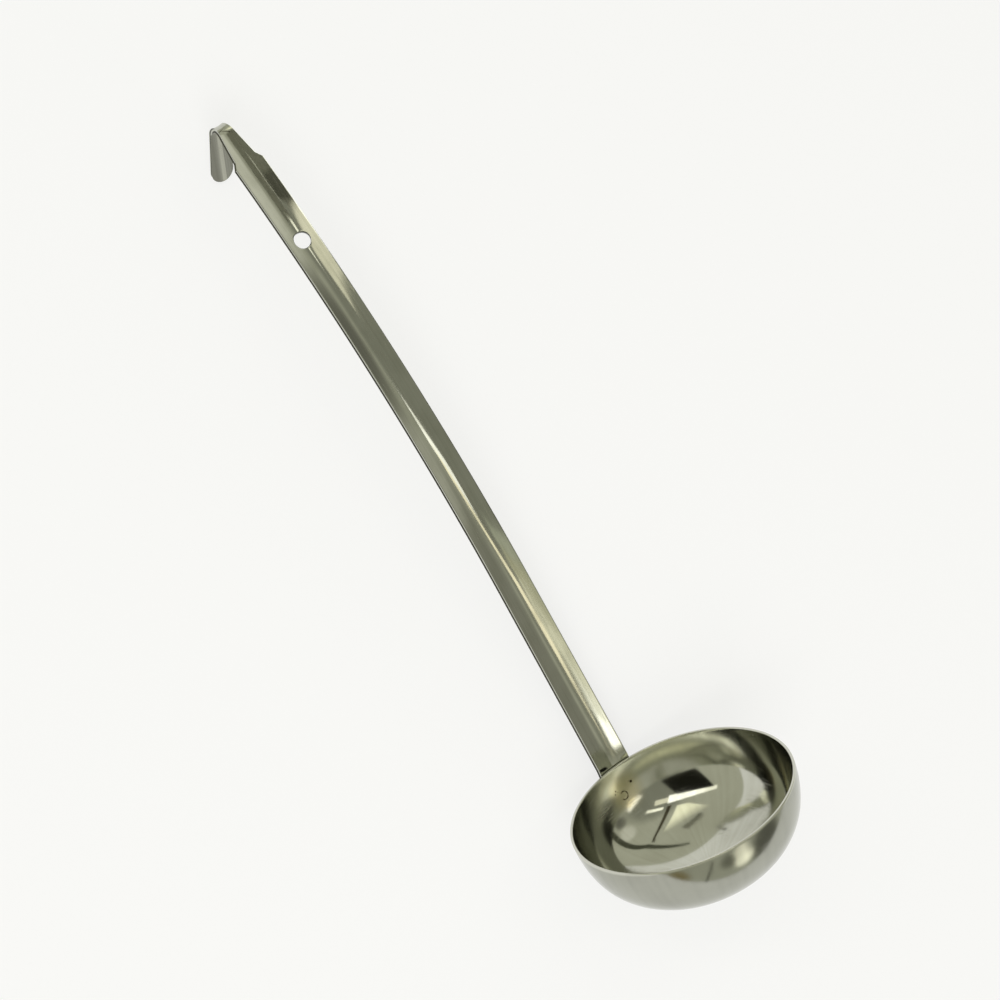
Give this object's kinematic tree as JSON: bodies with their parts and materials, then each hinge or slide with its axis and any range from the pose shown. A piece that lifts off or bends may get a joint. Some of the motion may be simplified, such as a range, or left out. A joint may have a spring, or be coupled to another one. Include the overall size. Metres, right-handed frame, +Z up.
{
  "type": "ladle",
  "caption": "Stainless steel serving ladle: a round bowl with a domed bottom and a long grooved strap handle with a hanging hole and a hook at its end.",
  "frame": {"origin": "middle of the ladle's box, on the table that the ladle lies on", "axes": "+X along the ladle from bowl to hook, +Y across it, +Z up from the table; the ladle lies on its back on its foot and the tip of its hook"},
  "size_m": [0.3764, 0.096, 0.0928],
  "materials": {
    "bowl_steel": "polished stainless steel sheet",
    "handle_steel": "polished stainless steel strap with fine lines along its length",
    "weld_steel": "dull spot weld"
  },
  "bodies": {
    "root": {"bowl": "bowl_steel", "handle": "handle_steel", "spot_weld_left": "weld_steel", "spot_weld_right": "weld_steel"}
  },
  "joints": []
}
